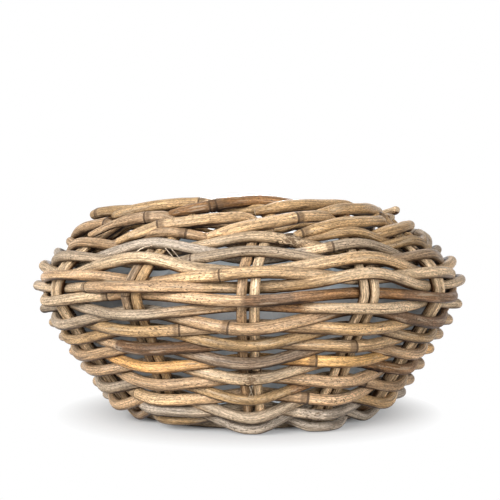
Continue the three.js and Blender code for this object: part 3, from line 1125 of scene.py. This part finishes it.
def filmSurface():
    # a bag: a floor from the middle out, then up inside the weave, pushed in and out by its
    # creases; with it the light painted on it as shade, less at the front half's lower wall
    share = np.linspace(0, 1, film["steps"])
    turn = np.linspace(0, 2 * np.pi, film["turns"], endpoint=False)
    onFloor = np.minimum(share / film["floorShare"], 1)
    climb = np.maximum((share - film["floorShare"]) / (1 - film["floorShare"]), 0)
    wallSeed, floorSeed = film["crumpleSeeds"]
    along = film["startAlong"] + climb * (wallLength + film["rise"] - film["startAlong"])
    edge = sum(size * np.sin(waves * turn + start) for size, waves, start in film["edgeWaves"])
    edge = film["edgeWave"] * np.abs(edge) * ease(climb, *film["edgeClimbs"])[:, None]
    lengths = along[:, None] - edge
    radius = np.interp(along, wallAlong, wallLine[:, 0])[:, None]
    slant = film["crumpleSlant"] * lengths
    fold = crumple(wallSeed, radius * np.sin(turn) + slant, radius * np.cos(turn) - slant)
    push = film["crumple"] * (fold - 1) * ease(climb, *film["crumpleFrom"])[:, None]
    wall = onWall(lengths, push - film["inset"], np.broadcast_to(turn, lengths.shape))[0]
    start = wall[np.argmax(climb > 0) - 1]
    middle = np.array([0, 0, film["floorLevel"]])
    floor = middle + (start[None] - middle) * onFloor[:, None, None]
    turnedUp = (start[None, :, 2] - film["floorLevel"]) * onFloor[:, None] ** film["floorFold"]
    creased = 1 + crumple(floorSeed, floor[..., 0], floor[..., 1])
    creased = film["floorCrumple"] * creased * ease(onFloor, *film["crumpleFrom"])[:, None]
    floor[..., 2] = film["floorLevel"] + turnedUp + creased
    dim = 1 - np.interp(climb, film["dimClimbs"], film["dimShares"])
    lost = ease(climb, *film["dimStart"]) * dim
    light = 1 - lost[:, None] * ease(np.cos(turn), *film["dimSides"])
    return np.where((climb > 0)[:, None, None], wall, floor), light


def filmMaterial():
    # clear grey-blue film: clouded, with painted glints along its creases, darker on the left and
    # with painted shade where little light gets in; part of the light goes through
    material, tree, shader = newMaterial("linerFilm")
    place = shaderNode(tree, "ShaderNodeTexCoord").outputs["Object"]
    inputs = {"Vector": place, "Scale": film["cloudScale"], "Detail": film["cloudDetail"]}
    cloud = shaderNode(tree, "ShaderNodeTexNoise", inputs).outputs["Fac"]
    inputs = {"Vector": place, "Scale": film["creaseScale"]}
    cells = shaderNode(tree, "ShaderNodeTexVoronoi", inputs, feature="DISTANCE_TO_EDGE")
    crease = cells.outputs["Distance"]
    side = shaderNode(tree, "ShaderNodeSeparateXYZ", {0: place}).outputs["X"]
    clouded = ramped(tree, cloud, *film["cloudRange"])
    colour = blendTone(tree, clouded, film["deepTone"], film["tone"])
    # painted glints: paler along the crease lines
    colour = blendTone(tree, ramped(tree, crease, *film["creaseGlintRange"]), colour, film["creaseGlintTone"])
    # darker towards the left side
    colour = blendTone(tree, ramped(tree, side, *film["leftDarkRange"]), colour, film["leftDarkTone"])
    # painted shade: darker where the stored light share is low
    colour = blendTone(tree, storedField(tree, "filmDim"), film["dimTone"], colour)
    hollow = ramped(tree, crease, *film["hollowRange"])
    bump = shaderNode(tree, "ShaderNodeBump", {
        "Strength": film["reliefStrength"],
        "Distance": film["reliefDepth"],
        "Height": summed(tree, ((cloud, 1.0), (hollow, film["hollowShare"]))),
    }).outputs[0]
    setInputs(tree, shader, {
        "Base Color": colour,
        "Roughness": film["roughness"],
        "Specular IOR Level": film["specular"],
        "Normal": bump,
    })
    through = shaderNode(tree, "ShaderNodeBsdfTranslucent", {"Color": colour, "Normal": bump})
    inputs = {0: film["through"], 1: shader.outputs[0], 2: through.outputs[0]}
    both = shaderNode(tree, "ShaderNodeMixShader", inputs)
    tree.links.new(both.outputs[0], tree.nodes["Material Output"].inputs["Surface"])
    return material


filmPoints, filmLight = filmSurface()
filmRows, filmTurns = filmPoints.shape[:2]
filmMesh = bpy.data.meshes.new("film_liner")
filmMesh.materials.append(filmMaterial())
# the first row is the middle of the floor: its ring is one point, with a fan of triangles round it
onePoint = filmTurns - 1
filmQuads = np.maximum(tubeFaces(filmRows, filmTurns, False) - onePoint, 0)
fan, filmQuads = filmQuads[:filmTurns, [0, 3, 2]], filmQuads[filmTurns:]
fillMesh(filmMesh, filmPoints.reshape(-1, 3)[onePoint:], filmQuads, fan)
giveAttribute(filmMesh, "filmDim", "FLOAT", filmLight.ravel()[onePoint:])
filmMesh.polygons.foreach_set("use_smooth", np.ones(len(filmMesh.polygons), bool))
filmMesh.polygons.foreach_set("material_index", np.zeros(len(filmMesh.polygons), np.int32))
filmPiece = placePiece("film_liner", filmMesh, "liner")
print("film laid:", len(filmMesh.polygons), "faces")

# floor, light and camera
stage = {
    "floorSize": 8.0,
    "floorTone": (0.8, 0.8, 0.8, 1),
    "white": (1, 1, 1, 1),
    "fade": (0.14, 0.245),  # distances over which the floor turns to plain white
    # soft square lamps: place, size and power
    "lamps": {
        "keyLamp": ((-1.15, -1.6, 0.85), 0.9, 44.0),
        "fillLamp": ((1.0, -1.7, 0.3), 1.2, 25.0),
        "backLamp": ((0, 0.95, 1.6), 0.9, 11.0),
        "rearLamp": ((0.2, 2.2, 0.5), 1.6, 12.0),
    },
    "lampAim": (0, 0, 0.12),
    # a narrow round lamp through the mouth onto the film
    "mouthLamp": ((0, 1.7, 0.8), 0.2, 170.0),
    "mouthAim": (0, -0.2, 0.23),
    "mouthBeam": 10,
    "mouthBlend": 0.7,
    "skyTone": (1, 0.8, 0.6, 1),
    "skyLight": 0.065,
    "cameraPlace": (0, -0.985, 0.168),
    "lens": 54.36,
    "sensor": 36,
    "shift": (0.0014, 0.056),
}


def seenRays(tree):
    # 1 on rays that show the background: from the camera, by a reflection or through a clear piece
    rays = shaderNode(tree, "ShaderNodeLightPath").outputs
    kinds = ("Is Camera Ray", "Is Glossy Ray", "Is Transmission Ray")
    seen = summed(tree, [(rays[kind], 1.0) for kind in kinds])
    seen.node.use_clamp = True
    return seen


def floorMaterial():
    # pale floor that keeps the shadow near the basket and is plain white to the camera further away
    material, tree, shader = newMaterial("paleFloor")
    tree.nodes.remove(shader)
    matte = shaderNode(tree, "ShaderNodeBsdfDiffuse", {"Color": stage["floorTone"]})
    white = shaderNode(tree, "ShaderNodeEmission", {"Color": stage["white"], "Strength": 1.0})
    place = shaderNode(tree, "ShaderNodeTexCoord").outputs["Object"]
    away = shaderNode(tree, "ShaderNodeVectorMath", {0: place}, operation="LENGTH").outputs["Value"]
    share = summed(tree, [(ramped(tree, away, *stage["fade"]), seenRays(tree))])
    inputs = {0: share, 1: matte.outputs[0], 2: white.outputs[0]}
    mixed = shaderNode(tree, "ShaderNodeMixShader", inputs)
    tree.links.new(mixed.outputs[0], tree.nodes["Material Output"].inputs["Surface"])
    return material


half = stage["floorSize"] / 2
floorCorners = [(-half, -half, 0), (half, -half, 0), (half, half, 0), (-half, half, 0)]
floorMesh = bpy.data.meshes.new("floor")
floorMesh.from_pydata(floorCorners, [], [(0, 1, 2, 3)])
floorMesh.materials.append(floorMaterial())
floor = addObject("floor", floorMesh)

world = bpy.data.worlds.new("studio")
bpy.context.scene.world = world
world.use_nodes = True
sky = world.node_tree
sky.nodes.clear()
inputs = {"Color": stage["skyTone"], "Strength": stage["skyLight"]}
light = shaderNode(sky, "ShaderNodeBackground", inputs)
white = shaderNode(sky, "ShaderNodeBackground", {"Color": stage["white"], "Strength": 1.0})
inputs = {0: seenRays(sky), 1: light.outputs[0], 2: white.outputs[0]}
both = shaderNode(sky, "ShaderNodeMixShader", inputs)
shaderNode(sky, "ShaderNodeOutputWorld", {"Surface": both.outputs[0]})


def hangLamp(name, kind, place, power, aim):
    # a lamp at its place, turned to what it lights
    lamp = bpy.data.lights.new(name, kind)
    lamp.energy = power
    holder = addObject(name, lamp)
    holder.location = place
    towards = Vector(aim) - Vector(place)
    holder.rotation_euler = towards.to_track_quat("-Z", "Y").to_euler()
    return lamp


for name, (place, size, power) in stage["lamps"].items():
    hangLamp(name, "AREA", place, power, stage["lampAim"]).size = size
place, size, power = stage["mouthLamp"]
mouthLamp = hangLamp("mouthLamp", "SPOT", place, power, stage["mouthAim"])
mouthLamp.spot_size, mouthLamp.spot_blend = np.radians(stage["mouthBeam"]), stage["mouthBlend"]
mouthLamp.shadow_soft_size = size / 2

camera = bpy.data.cameras.new("photoCamera")
camera.lens = stage["lens"]
camera.sensor_width = stage["sensor"]
camera.shift_x, camera.shift_y = stage["shift"]
cameraPiece = addObject("photoCamera", camera)
cameraPiece.location = stage["cameraPlace"]
cameraPiece.rotation_euler = (np.pi / 2, 0, 0)
bpy.context.scene.camera = cameraPiece
bpy.context.scene.view_settings.view_transform = "Standard"
print("stage set")
